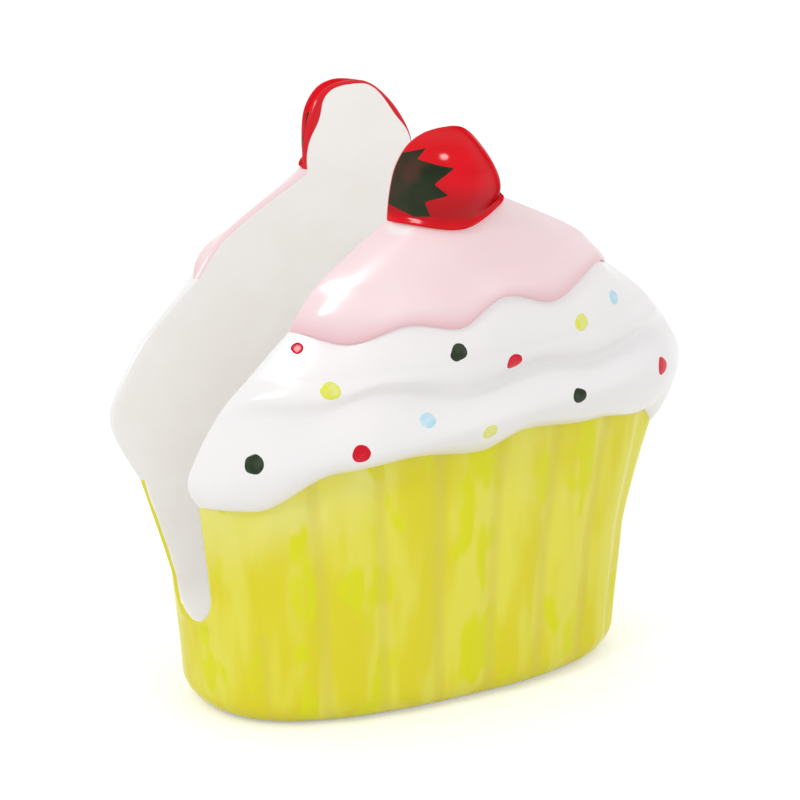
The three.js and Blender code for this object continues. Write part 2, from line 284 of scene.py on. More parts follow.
def half_at(row, distance):
    """Half length of a row at a distance from the mid-plane."""
    return row.half * narrowing(distance / row.depth, row.squareness)


def height_at(row, x):
    """Height of a row at a place along the slot."""
    rim = half_at(row, slot_half((row.left_z + row.right_z) / 2))
    length = rim - row.centre if x < 0 else rim + row.centre
    along = max(-1.0, min(1.0, x / max(length, SHORTEST)))
    return lerp(row.left_z, row.right_z, (1 + along) / 2) + row.wave(along) + row.lift


def angle_at(row, share, depth):
    """Angle of an oval of this depth, at a share of the way between the two rims of the slot."""
    starts = []
    for z in (row.left_z, row.right_z):
        back = min(1.0, slot_half(z + row.lift, RIM_RADIUS) / depth)
        starts.append(math.asin(back ** (row.squareness / 2)))
    return lerp(starts[0], math.pi - starts[1], even_share(share))


def groove(angle, share):
    """Depth of the pleats as a share: broad ridges with a soft groove between two of them."""
    ridge = abs(math.cos(math.pi * PLEATS * way_round(angle)))
    return smooth(1 - ridge, 0.0, 1.0) * smooth(min(share, 1 - share), 0.0, PLEAT_EASE)


def leaf_point(row, share):
    """A point of the outer surface, at a share of the way from the left rim to the right rim."""
    angle = angle_at(row, share, row.depth)
    along, out = place_at(angle, row.squareness)
    x = row.centre + row.half * along
    ease = smooth(min(share, 1 - share), 0.0, RIM_EASE)
    proud = row.proud if row.proud < 0 else ease * row.proud
    proud -= row.pleat * groove(angle, share)
    point = Vector((x, -row.depth * out, height_at(row, x)))
    hand = ease * WOBBLE * (noise.noise(point / WOBBLE_LENGTH) - 1)
    hand = hand * min(1.0, row.half / FOOT_EDGE_RADIUS)
    outward = Vector((along / row.half, -out / row.depth, 0.0)) if row.half else Vector((0.0, -1.0, 0.0))
    return point + outward.normalized() * (proud + hand)


def hollow_point(row, share):
    """The point of the inner wall behind it."""
    depth = max(slot_half(row.left_z, RIM_RADIUS), row.depth - WALL)
    x = row.centre + row.half * place_at(angle_at(row, share, row.depth), row.squareness)[0]
    along, out = place_at(angle_at(row, share, depth), row.squareness)
    return Vector((row.centre + row.half**2 / (row.half + WALL) * along, -depth * out, height_at(row, x)))


def flat_back_point(row, share):
    """The point on the flat back of a solid piece, against the slot lining."""
    z = height_at(row, leaf_point(row, share).x)
    back = slot_half(z, RIM_RADIUS)
    half = half_at(row, back)
    return Vector((row.centre + half**2 / (half + WALL) * lerp(-1, 1, share), -back, z))


middle = leaf_point(layer_row(ICING, 1.0), 0.5)
print("front of the lower icing's bulge:", tuple(round(value, 1) for value in middle))

# %% [markdown]
# ## From rows to a clay wall
#
# A layer could be skinned from curves, but a grid gives even quads. The grid has one column for each
# step round the section and one row for each row of the leaf. It is extruded once for the inner wall,
# and then every vertex is moved to its place, so each layer is a closed shell with clean edges. The
# back leaf is the front one turned half a turn, as the real one looks to be. A closed shell has a
# positive volume when its faces point outwards, so that is how the faces are checked.

# %% Shell, turning and finishing
HALF_TURN = Matrix.Rotation(math.pi, 3, "Z")
SHARP_EDGE = math.radians(30)
MERGE_DISTANCE = 0.002


def close_up(bm):
    """Merges doubles and turns every face outwards."""
    bmesh.ops.remove_doubles(bm, verts=bm.verts[:], dist=MERGE_DISTANCE * MM)
    bmesh.ops.recalc_face_normals(bm, faces=bm.faces[:])
    if bm.calc_volume(signed=True) < 0:
        bmesh.ops.reverse_faces(bm, faces=bm.faces[:])


def leaf_shell(rows, columns, inner_point=hollow_point, paint=None):
    """A closed wall through the rows. paint gives named values to store on the vertices."""
    bm = bmesh.new()
    bmesh.ops.create_grid(bm, x_segments=columns, y_segments=len(rows) - 1, size=0.5)
    paint = paint or {}
    layers = bm.verts.layers
    for name in ("share", *paint):
        layers.float.new(name)
    row_of = layers.int.new("row")
    share_of = layers.float["share"]
    coats = {name: layers.float[name] for name in paint}
    for vert in bm.verts:
        vert[share_of] = round((vert.co.x + 0.5) * columns) / columns
        vert[row_of] = round((vert.co.y + 0.5) * (len(rows) - 1))
    wall = bmesh.ops.extrude_face_region(bm, geom=bm.faces[:])
    inner = {item for item in wall["geom"] if isinstance(item, bmesh.types.BMVert)}
    for vert in bm.verts:
        row = rows[vert[row_of]]
        place = inner_point if vert in inner else leaf_point
        point = place(row, vert[share_of])
        vert.co = point * MM
        for name, layer in coats.items():
            vert[layer] = paint[name](row, vert[share_of], point)
    close_up(bm)
    return bm


def finish_piece(bm, name, slot, *nodes):
    """The bmesh as an object that rides on the frame and stands for its CAD nodes."""
    mesh = bpy.data.meshes.new(name)
    bm.to_mesh(mesh)
    mesh.shade_smooth()
    mesh.set_sharp_from_angle(angle=SHARP_EDGE)
    piece = bpy.data.objects.new(name, mesh)
    bpy.context.collection.objects.link(piece)
    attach(piece, "root")
    if nodes:
        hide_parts(*nodes)
    print(f"{name}: {len(mesh.polygons)} faces")
    return piece


def leaf_piece(bm, side, name, slot):
    """The piece on one leaf. On the back leaf it is turned half a turn."""
    if side == "back":
        bmesh.ops.rotate(bm, verts=bm.verts[:], cent=(0, 0, 0), matrix=HALF_TURN)
    return finish_piece(bm, f"{side}_{name}", slot, f"{name}_{side}")


def both_leaves(bm, name, slot):
    """The same piece on the front leaf and on the back leaf."""
    pieces = [leaf_piece(bm, side, name, slot) for side in ("front", "back")]
    bm.free()
    return pieces


print(f"edges that turn by more than {math.degrees(SHARP_EDGE):.0f} degrees stay sharp")

# %% [markdown]
# ## The pleated wrapper
#
# The cup is pressed in a pleated mould: a rounded foot edge, walls that lean out a little and then
# flare towards the top, and ten broad ridges on each leaf with soft grooves between them. Its ends are
# notched by the rounded slot floor. The pleats could be a bump in the material, but then the foot would
# stay smooth, so they are in the shape. The top edge follows the wavy lower edge of the icing and goes
# on a little behind it.

# %% Rows of the wrapper
WRAPPER_COLUMNS = 200
PLEAT_DEPTH = 1.0
FOOT_STEPS = 8
LEVEL_STEPS = 7
NOTCH_STEPS = 10
FLARE_STEPS = 30
TUCK = 1.5
TUCK_START = 0.2
TUCK_LIFT = 0.6


def level_row(z, inset=0.0, pleat=PLEAT_DEPTH):
    """A level row of the wrapper below the middle of the slot's rounded floor."""
    height = max(0.0, z - FOOT_EDGE_RADIUS)
    half = FOOT_HALF_LENGTH + WRAPPER_LEAN * height - inset
    share = height / (WRAPPER_TOP.left_z - FOOT_EDGE_RADIUS)
    depth = lerp(FOOT_DEPTH, wrapper_top_row.depth, share) - inset
    squareness = lerp(FOOT_SQUARENESS, WRAPPER_TOP.squareness, share)
    return Row(0.0, half, z, z, depth, squareness, lambda along: 0.0, pleat=pleat)


def foot_row(angle):
    """A row of the rounded bottom edge."""
    z = FOOT_EDGE_RADIUS * (1 - math.cos(angle))
    pleat = PLEAT_DEPTH * smooth(z, 0.0, FOOT_EDGE_RADIUS)
    return level_row(z, FOOT_EDGE_RADIUS * (1 - math.sin(angle)), pleat)


def flare_row(share, **more):
    """A row from the middle of the slot's rounded floor, 0, to the wavy top edge, 1."""
    start = level_row(SLOT_CENTRE)
    flare = share**WRAPPER_FLARE
    return start._replace(
        centre=wrapper_top_row.centre * flare,
        half=lerp(start.half, wrapper_top_row.half, flare),
        left_z=lerp(SLOT_CENTRE, WRAPPER_TOP.left_z, share),
        right_z=lerp(SLOT_CENTRE, WRAPPER_TOP.right_z, share),
        depth=lerp(start.depth, wrapper_top_row.depth, share),
        squareness=lerp(start.squareness, WRAPPER_TOP.squareness, share),
        wave=lambda along: share * wrapper_top_row.wave(along),
        place=share,
        **more,
    )


notch_radius = SLOT_FLOOR_RADIUS + RIM_RADIUS
notch_bottom = SLOT_CENTRE - notch_radius
wrapper_rows = [foot_row(math.pi / 2 * step / FOOT_STEPS) for step in range(FOOT_STEPS)]
wrapper_rows += [
    level_row(lerp(FOOT_EDGE_RADIUS, notch_bottom, step / LEVEL_STEPS)) for step in range(LEVEL_STEPS)
]
wrapper_rows += [
    level_row(SLOT_CENTRE - notch_radius * math.cos(math.pi / 2 * step / NOTCH_STEPS))
    for step in range(NOTCH_STEPS)
]
wrapper_rows += [flare_row(step / FLARE_STEPS) for step in range(FLARE_STEPS + 1)]
wrapper_rows += [flare_row(1.0, proud=-TUCK, lift=TUCK_LIFT)]
print(len(wrapper_rows), "rows from the foot to the tucked top edge")

# %% Walls of the wrapper
wrapper_bm = leaf_shell(
    wrapper_rows,
    WRAPPER_COLUMNS,
    paint={
        "groove": lambda row, share, point: groove(angle_at(row, share, row.depth), share),
        "height": lambda row, share, point: row.place,
    },
)
wrappers = both_leaves(wrapper_bm, "wrapper", "yellow_glaze")

# %% [markdown]
# ## Icing, topping and cherry
#
# The soft layers are modelled one over the other. Metaballs would be soft at once, but their edges
# would not meet the slot. So each layer is a shell that starts tucked behind the top edge of the one
# below, swells out in a lip, and ends tucked behind the next. The lips of the lower icing and of the
# topping are quarter rounds, the upper icing only folds softly over the lower one, and the cherry has a
# flange where red glaze has run down. The rows are close together at the lips, where the surface turns
# quickly.

# %% Soft layers
LAYER_COLUMNS = 150
LIP_STEPS = 10
BODY_STEPS = 14


def lip_bead(place, span):
    """A quarter round that swells from 0 at the lower edge to 1 over its span, and then dies away."""
    left = 1 - min(1.0, place / span)
    return math.sqrt(1 - left * left) * (1 - smooth(place, span, 1.0))


def soft_swell(place, span):
    """An easy S from 0 to 1 over its span, which then dies away: a fold with no edge."""
    return smooth(place, 0.0, span) * (1 - smooth(place, span, 1.0))


Lip = namedtuple("Lip", "height span swell")
LOWER_ICING_LIP = Lip(1.1, 0.3, lip_bead)
UPPER_ICING_LIP = Lip(1.4, 0.45, soft_swell)
TOPPING_LIP = Lip(1.6, 0.45, lip_bead)


def soft_layer(stations, first, last, lip, paint=None):
    """A layer between two places of its stations, with both edges tucked behind its neighbours."""
    places = [first + lip.span * (step / LIP_STEPS) ** 2 for step in range(LIP_STEPS)]
    body = BODY_STEPS * (last - first)
    places += [lerp(first + lip.span, last, step / body) for step in range(body + 1)]
    rows = [layer_row(stations, first, proud=-TUCK, lift=TUCK_START)]
    for place in places:
        rows.append(layer_row(stations, place, proud=lip.height * lip.swell(place - first, lip.span)))
    rows.append(layer_row(stations, last, proud=-TUCK, lift=TUCK_LIFT))
    return leaf_shell(rows, LAYER_COLUMNS, paint=paint)


lower_icings = both_leaves(soft_layer(ICING, 0, 2, LOWER_ICING_LIP), "lower_icing", "icing_glaze")
upper_icings = both_leaves(soft_layer(ICING, 2, 4, UPPER_ICING_LIP), "upper_icing", "icing_glaze")

# %% Topping
# Share of the topping over which its lower edge is painted darker: pooled glaze and painted shade.
PINK_POOL_AND_SHADE = 0.6
MISSED = Vector((-15.6, -25.0, 118.0))
MISSED_REACH = Vector((3.4, 3.4, 1.5))
MISSED_FADE = (0.6, 1.3)


def missed_way(point):
    """Distance from the spot under the cherry that the brush missed, as a share of its reach."""
    way = point - MISSED
    return Vector(along / reach for along, reach in zip(way, MISSED_REACH)).length


# The pink is painted darker along its lower edge: partly pooled glaze, partly painted shade under the
# lip.
topping_paint = {
    "glaze_pool_and_shade": lambda row, share, point: 1 - smooth(row.place, 0.0, PINK_POOL_AND_SHADE),
    "missed": lambda row, share, point: 1 - smooth(missed_way(point), *MISSED_FADE),
}
toppings = both_leaves(soft_layer(TOPPING, 0, 2, TOPPING_LIP, topping_paint), "topping", "pink_glaze")

# %% Cherry
CHERRY_COLUMNS = 170
CHERRY_STEPS = 110
FLANGE = 1.3
FLANGE_PLACE = 0.16
FLANGE_SPAN = 0.17
FADE_OUT = 5.0
# Where the red is painted deeper above the flange: partly gathered glaze, partly painted shade.
POOL_AND_SHADE_PLACE = 0.55
POOL_AND_SHADE_END = 1.9
TOP_CROWDING = 1.5


def cherry_places(steps):
    """Places from the base to the top of a cherry, closer together towards the top."""
    last = len(FRONT_CHERRY) - 1
    return [last * (1 - (1 - step / steps) ** TOP_CROWDING) for step in range(steps + 1)]


def cherry(stations, right_leaf_shift):
    """A solid cherry. The painted leaf on its right end is shifted back by some millimetres."""
    rows = [layer_row(stations, 0.0, proud=-TUCK, lift=TUCK_START)]
    for place in cherry_places(CHERRY_STEPS):
        flange = FLANGE * math.exp(-(((place - FLANGE_PLACE) / FLANGE_SPAN) ** 2))
        rows.append(layer_row(stations, place, proud=flange))

    def leaf(row, share, point):
        return min(leaf_depth(point, right_leaf_shift), FADE_OUT * (row.place - 2 * FLANGE_SPAN))

    # A deeper red in the hollow just above the flange: partly gathered glaze, partly painted shade.
    def glaze_pool_and_shade(row, share, point):
        return smooth(row.place, FLANGE_PLACE, POOL_AND_SHADE_PLACE) * (1 - smooth(row.place, POOL_AND_SHADE_PLACE, POOL_AND_SHADE_END))

    paint = {"leaf": leaf, "glaze_pool_and_shade": glaze_pool_and_shade}
    return leaf_shell(rows, CHERRY_COLUMNS, inner_point=flat_back_point, paint=paint)


print(f"the flange stands {FLANGE} mm proud of the cherry")

# %% [markdown]
# ## Painted cherry leaves
#
# Each cherry has a dark green sprig painted round its ends, with four pointed tips. It is flat colour
# under the glaze, so it isn't modelled. It could be a picture on a UV map, but then its edge would be as
# coarse as the picture. Its outline is drawn on the unrolled side of the cherry instead, and every
# vertex keeps its distance from that outline, inside counted as positive.

# %% Leaf outline and the two cherries
CHERRY_AXIS = -22.0
CHERRY_RADIUS = 15.0
FRONT_LEAF_SHIFT = 4.5
BACK_LEAF_SHIFT = 11.0
LEAF_OUTLINE = [
    Vector(place)
    for place in (
        (-1, 134.5), (7.9, 136.8), (6.1, 134.3), (15.9, 133.3), (11.6, 129.3),
        (15, 126.7), (8.8, 124.7), (10, 121), (5.5, 120.7), (-1, 123.5),
    )
]


def outline_depth(spot):
    """Distance of a spot from the leaf's outline, positive inside it."""
    inside = False
    nearest = CHERRY_RADIUS
    for start, end in zip(LEAF_OUTLINE, LEAF_OUTLINE[1:] + LEAF_OUTLINE[:1]):
        side = end - start
        share = min(1.0, max(0.0, (spot - start).dot(side) / side.length_squared))
        nearest = min(nearest, (spot - start - share * side).length)
        if (start.y > spot.y) != (end.y > spot.y):
            crossing = lerp(start.x, end.x, (spot.y - start.y) / side.y)
            inside = inside != (crossing > spot.x)
    return nearest if inside else -nearest


def leaf_depth(point, right_shift):
    """Distance of a point of a cherry from the outlines of its two painted leaves."""
    out = CHERRY_AXIS - point.y
    left = Vector((CHERRY_RADIUS * math.atan2(out, -point.x), point.z))
    right = Vector((CHERRY_RADIUS * math.atan2(out, point.x) + right_shift, point.z))
    return max(outline_depth(left), outline_depth(right))


front_cherry_bm = cherry(FRONT_CHERRY, FRONT_LEAF_SHIFT)
back_cherry_bm = cherry(BACK_CHERRY, BACK_LEAF_SHIFT)
cherries = [
    leaf_piece(front_cherry_bm, "front", "cherry", "red_glaze"),
    leaf_piece(back_cherry_bm, "back", "cherry", "red_glaze"),
]
front_cherry_bm.free()
back_cherry_bm.free()

# %% [markdown]
# ## Coloured dots
#
# The sprinkles are dabbed on the icing with a brush that holds one drop of colour, and each drop spreads
# into a flat, slightly uneven lens. A decal would be quicker, but it has no edge to catch the light. A
# dab starts as a sphere, is pressed nearly flat, and is laid on the icing point by point. Each is given
# by its place on the front leaf and its radius, and the back leaf gets the same dots, turned half a turn.

# %% Dots
DAB_HEIGHT = 0.12
DAB_UNEVEN = 0.17
DAB_SEGMENTS = 36
DAB_RINGS = 14
DOTS = {
    "red": (
        (-40.5, -21.3, 92.7, 1.5), (-32, -36, 69.6, 2.2), (8.4, -36.2, 85.4, 2.1), (56.9, -28.4, 74, 2.2),
    ),
    "green": ((-54.7, -25.4, 68.6, 2.3), (-7, -36.9, 90.1, 2.1), (26.6, -38.1, 74.2, 2.0)),
    "yellow": ((-36.5, -29.5, 83.8, 2.3), (1.4, -38.4, 69.6, 2.0), (28.3, -34.4, 91.1, 2.1)),
    "blue": ((-14.4, -36.8, 75.8, 1.9), (40.8, -29, 93.8, 1.7)),
}
DOT_SLOTS = {"red": "red_glaze", "green": "icing_glaze", "yellow": "yellow_glaze", "blue": "icing_glaze"}


def surface_of(*pieces):
    """A search tree over the faces of some pieces."""
    points, faces = [], []
    for piece in pieces:
        first = len(points)
        points += [vert.co.copy() for vert in piece.data.vertices]
        faces += [[first + index for index in face.vertices] for face in piece.data.polygons]
    return BVHTree.FromPolygons(points, faces)


icing_surface = surface_of(lower_icings[0], upper_icings[0])


def dab(bm, centre, radius):
    """One dot: a sphere pressed flat on the icing, with an uneven edge."""
    middle, normal, _, _ = icing_surface.find_nearest(centre * MM)
    across = normal.orthogonal().normalized()
    up = normal.cross(across)
    made = bmesh.ops.create_uvsphere(bm, u_segments=DAB_SEGMENTS, v_segments=DAB_RINGS, radius=1.0)
    for vert in made["verts"]:
        place = Vector((vert.co.x, vert.co.y, centre.x))
        reach = radius * (1 + DAB_UNEVEN * noise.noise(place))
        flat = middle + (across * vert.co.x + up * vert.co.y) * reach * MM
        seat, seat_normal, _, _ = icing_surface.find_nearest(flat)
        vert.co = seat + seat_normal * vert.co.z * DAB_HEIGHT * MM


dots = {}
for shade, dabs in DOTS.items():
    dot_bm = bmesh.new()
    for x, y, z, radius in dabs:
        dab(dot_bm, Vector((x, y, z)), radius)
    turned_dots = bmesh.ops.duplicate(dot_bm, geom=dot_bm.verts[:] + dot_bm.edges[:] + dot_bm.faces[:])
    turned_verts = [item for item in turned_dots["geom"] if isinstance(item, bmesh.types.BMVert)]
    bmesh.ops.rotate(dot_bm, verts=turned_verts, cent=(0, 0, 0), matrix=HALF_TURN)
    dots[shade] = finish_piece(dot_bm, f"{shade}_dots", DOT_SLOTS[shade])
    dot_bm.free()

# %% [markdown]
# ## The slot lining
#
# Both faces and the floor of the slot are one smooth white skin that rolls over the rim all round. A
# bevel would need a clean edge loop, and the outline comes to a point at the top of each cherry. The
# lining is cut flat instead, like a slab of clay: a grid in the shape of the unrolled slot. Its rim is
# then rounded by each point's distance from the outline, and the slab is bent into the slot.

# %% Lining
LINING_COLUMNS = 56
LINING_FLOOR_STEPS = 14
LINING_STEPS = {"wrapper": 24, "icing": 44, "topping": 20, "cherry": 60}
FLOOR_LENGTH = SLOT_FLOOR_RADIUS * math.pi / 2
LEAN_ANGLE = math.atan(SLOT_LEAN)
FlatRow = namedtuple("FlatRow", "left left_path right right_path coat")


def path_at(z):
    """Way from the middle of the slot floor up a slot face to a height."""
    return FLOOR_LENGTH + (z - SLOT_CENTRE) / math.cos(LEAN_ANGLE)


def flat_row(row, coat):
    """The row of the flat lining beside a row of a leaf."""
    left = half_at(row, slot_half(row.left_z, RIM_RADIUS)) - row.centre
    right = half_at(row, slot_half(row.right_z, RIM_RADIUS)) + row.centre
    return FlatRow(left, path_at(row.left_z), right, path_at(row.right_z), coat)


def floor_row(share):
    """A row of the flat lining in the slot's rounded floor, from 0 at its lowest line to 1 at its end."""
    angle = math.pi / 2 * share
    z = SLOT_CENTRE - notch_radius * math.cos(angle)
    half = half_at(level_row(z), slot_half(z, RIM_RADIUS))
    return FlatRow(half, FLOOR_LENGTH * share, half, FLOOR_LENGTH * share, 0.0)


def steps_up(stations, count, coat):
    """Rows of the flat lining beside a layer, without its first station."""
    last = len(stations) - 1
    return [flat_row(layer_row(stations, last * step / count), coat) for step in range(1, count + 1)]


def face_rows(cherry_stations):
    """Rows of the flat lining from its lowest line up one slot face to the top of a cherry."""
    rows = [floor_row(step / LINING_FLOOR_STEPS) for step in range(LINING_FLOOR_STEPS)]
    steps = LINING_STEPS["wrapper"]
    rows += [flat_row(flare_row(step / steps), 0.0) for step in range(steps + 1)]
    rows += steps_up(ICING, LINING_STEPS["icing"], 1.0)
    rows += steps_up(TOPPING, LINING_STEPS["topping"], 2.0)
    places = cherry_places(LINING_STEPS["cherry"])[1:]
    return rows + [flat_row(layer_row(cherry_stations, place), 3.0) for place in places]


def turned(row):
    """The same row on the back leaf: half a turn swaps its ends."""
    return FlatRow(row.right, row.right_path, row.left, row.left_path, row.coat)


def mirrored(row):
    """The same row on the front leaf's side of the floor, where the path counts down."""
    return row._replace(left_path=-row.left_path, right_path=-row.right_path)


front_rows = [mirrored(row) for row in face_rows(FRONT_CHERRY)]
back_rows = [turned(row) for row in face_rows(BACK_CHERRY)]
lining_rows = front_rows[:0:-1] + back_rows
print(len(lining_rows), "rows from the front top, round the floor, to the back top")


# %% Bend, lap and rim of the lining
LAP_WIDTHS = (0.5, 0.9, 0.9, 0.65)
LAP_UNEVEN = 0.25
LAP_LENGTH = 7.0
RedRun = namedtuple("RedRun", "x z width reach")
RED_RUNS = (RedRun(-10.5, 133.0, 2.4, 4.5), RedRun(12.0, 131.0, 0.9, 4.0))


def bend(x, path, depth):
    """A point of the flat slab in the slot, sunk into the clay by a depth."""
    side = math.copysign(1.0, path)
    run = abs(path) - FLOOR_LENGTH
    if run < 0:
        angle = path / SLOT_FLOOR_RADIUS
        radius = SLOT_FLOOR_RADIUS + depth
        return Vector((x, radius * math.sin(angle), SLOT_CENTRE - radius * math.cos(angle)))
    half = SLOT_FLOOR_RADIUS + depth + run * math.sin(LEAN_ANGLE)
    return Vector((x, side * half, SLOT_CENTRE + run * math.cos(LEAN_ANGLE)))


def lap_width(spot, coat):
    """How far the colour beside the rim laps on to the flat slab at a spot."""
    spot = spot * math.copysign(1.0, spot.y)
    width = LAP_WIDTHS[round(coat)] + LAP_UNEVEN * noise.noise(spot / LAP_LENGTH)
    for run in RED_RUNS:
        way = spot - Vector((run.x, path_at(run.z), 0.0))
        width += run.width * math.exp(-((way.length / run.reach) ** 2))
    return width


def rim_depth(distance):
    """How far the rounded rim has turned into the clay at a distance from the outline."""
    left = max(0.0, RIM_RADIUS - distance)
    return RIM_RADIUS - math.sqrt(RIM_RADIUS**2 - left**2)


print(f"the rim of the slot is rounded to {RIM_RADIUS} mm")

# %% Cut the flat lining
OUTLINE_STEP = 0.2
lining_bm = bmesh.new()
bmesh.ops.create_grid(lining_bm, x_segments=LINING_COLUMNS, y_segments=len(lining_rows) - 1, size=0.5)
for name in ("rim", "coat", "lap"):
    lining_bm.verts.layers.float.new(name)
rim_layer, coat_layer, lap_layer = (lining_bm.verts.layers.float[name] for name in ("rim", "coat", "lap"))
for vert in lining_bm.verts:
    row = lining_rows[round((vert.co.y + 0.5) * (len(lining_rows) - 1))]
    share = (1 + math.sin(math.pi * vert.co.x)) / 2
    vert.co = (lerp(-row.left, row.right, share), lerp(row.left_path, row.right_path, share), 0.0)
    vert[coat_layer] = row.coat

outline = []
for edge in lining_bm.edges:
    if edge.is_boundary:
        start, end = (vert.co.copy() for vert in edge.verts)
        steps = max(1, math.ceil((end - start).length / OUTLINE_STEP))
        outline += [start.lerp(end, step / steps) for step in range(steps + 1)]
outline_tree = kdtree.KDTree(len(outline))
for index, point in enumerate(outline):
    outline_tree.insert(point, index)
outline_tree.balance()
for vert in lining_bm.verts:
    vert[rim_layer] = outline_tree.find(vert.co)[2]
    vert[lap_layer] = lap_width(vert.co, vert[coat_layer]) - vert[rim_layer]
print(len(outline), "points on the outline of the flat lining")

# %% Thicken and bend the lining
wall = bmesh.ops.extrude_face_region(lining_bm, geom=lining_bm.faces[:])
behind = {item for item in wall["geom"] if isinstance(item, bmesh.types.BMVert)}
for vert in lining_bm.verts:
    depth = RIM_RADIUS if vert in behind else rim_depth(vert[rim_layer])
    vert.co = bend(vert.co.x, vert.co.y, depth) * MM
close_up(lining_bm)
lining = finish_piece(lining_bm, "slot_lining", "white_glaze", "slot_liner")
lining_bm.free()

# %% [markdown]
# ## Glaze colours
#
# Colours are read off a photograph as everyday 0 to 255 values. Blender's shaders work in linear
# light, so one small function converts them, and each colour is written as it should look. Nodes could
# be placed by hand in the editor. A few helpers do it here, so that a material reads like a recipe.

# %% Colours and small node helpers
MIX_INPUTS = (0, 6, 7)
MIX_OUTPUT = 2


def colour(red, green, blue):
    """An everyday 0 to 255 colour as a linear one with alpha."""
    def linear(value):
        share = value / 255
        return share / 12.92 if share <= 0.04045 else ((share + 0.055) / 1.055) ** 2.4
    return (linear(red), linear(green), linear(blue), 1.0)


def link_or_set(tree, socket, value):
    """Gives a socket a link from another socket, or a plain value."""
    if isinstance(value, bpy.types.NodeSocket):
        tree.links.new(value, socket)
    else:
        socket.default_value = value


def maths(tree, operation, first, second):
    """A Math node on two values. Each may be a number or a socket."""
    node = tree.nodes.new("ShaderNodeMath")
    node.operation = operation
    link_or_set(tree, node.inputs[0], first)
    link_or_set(tree, node.inputs[1], second)
    return node.outputs[0]


def mix_colours(tree, factor, first, second):
    """A Mix node between two colours, with its colour sockets. Each value may be a socket."""
    node = tree.nodes.new("ShaderNodeMix")
    node.data_type = "RGBA"
    for index, value in zip(MIX_INPUTS, (factor, first, second)):
        link_or_set(tree, node.inputs[index], value)
    return node.outputs[MIX_OUTPUT]


def ramp(tree, value, start, end):
    """A mask that goes from 0 to 1 while a value goes from start to end."""
    node = tree.nodes.new("ShaderNodeMapRange")
    node.interpolation_type = "SMOOTHSTEP"
    node.inputs["From Min"].default_value = start
    node.inputs["From Max"].default_value = end
    tree.links.new(value, node.inputs["Value"])
    return node.outputs["Result"]


def attribute(tree, name):
    """A value that the mesh keeps on its vertices."""
    node = tree.nodes.new("ShaderNodeAttribute")
    node.attribute_name = name
    return node.outputs["Fac"]


print("white icing in linear light:", tuple(round(value, 2) for value in colour(243, 242, 240)))

# %% [markdown]
# ## One group for every glaze
#
# A fired glaze is never quite even: it lies a little thicker here and thinner there, and its surface
# has a faint ripple that bends reflections. Every material could have its own nodes for that, but then
# each change would have to be made many times. So it is one node group with three outputs: broad
# patches, fine streaks and the ripple's height. A strong colour stays strong right to the edge of what
# is seen, where a white room would lie over it as a pale veil. So such a glaze gets an edge index of
# refraction, and its reflection weakens edge on.

# %% Glaze group
PATCH_DETAIL = 3.0
STREAK_DETAIL = 2.0
RIPPLE_SCALE = 160.0
RIPPLE_DETAIL = 1.5


def glaze_group():
    """Three noises on the object's own coordinates."""
    tree = bpy.data.node_groups.new("fired_glaze", "ShaderNodeTree")
    tree.interface.new_socket("Patch Scale", in_out="INPUT", socket_type="NodeSocketFloat")
    tree.interface.new_socket("Stretch", in_out="INPUT", socket_type="NodeSocketVector")
    for name in ("Patches", "Streaks", "Ripple"):
        tree.interface.new_socket(name, in_out="OUTPUT", socket_type="NodeSocketFloat")
    inputs = tree.nodes.new("NodeGroupInput")
    outputs = tree.nodes.new("NodeGroupOutput")
    place = tree.nodes.new("ShaderNodeTexCoord").outputs["Object"]
    patches = tree.nodes.new("ShaderNodeTexNoise")
    patches.inputs["Detail"].default_value = PATCH_DETAIL
    tree.links.new(place, patches.inputs["Vector"])
    tree.links.new(inputs.outputs["Patch Scale"], patches.inputs["Scale"])
    stretched = tree.nodes.new("ShaderNodeVectorMath")
    stretched.operation = "MULTIPLY"
    tree.links.new(place, stretched.inputs[0])
    tree.links.new(inputs.outputs["Stretch"], stretched.inputs[1])
    streaks = tree.nodes.new("ShaderNodeTexNoise")
    streaks.inputs["Scale"].default_value = 1.0
    streaks.inputs["Detail"].default_value = STREAK_DETAIL
    tree.links.new(stretched.outputs[0], streaks.inputs["Vector"])
    ripple = tree.nodes.new("ShaderNodeTexNoise")
    ripple.inputs["Scale"].default_value = RIPPLE_SCALE
    ripple.inputs["Detail"].default_value = RIPPLE_DETAIL
    tree.links.new(place, ripple.inputs["Vector"])
    tree.links.new(patches.outputs["Fac"], outputs.inputs["Patches"])
    tree.links.new(streaks.outputs["Fac"], outputs.inputs["Streaks"])
    tree.links.new(ripple.outputs["Fac"], outputs.inputs["Ripple"])
    return tree


fired_glaze = glaze_group()
print("the glaze group has", len(fired_glaze.nodes), "nodes")

# %% A glaze material
GLAZE_ROUGHNESS = 0.14
RIPPLE_HEIGHT = 0.0004
EDGE_ON = (0.3, 0.8)
DRIFT = (0.35, 0.65)


def place_group(tree, patch_scale, stretch):
    """The glaze group in a material, with its own values."""
    group = tree.nodes.new("ShaderNodeGroup")
    group.node_tree = fired_glaze
    group.inputs["Patch Scale"].default_value = patch_scale
    group.inputs["Stretch"].default_value = stretch
    return group.outputs


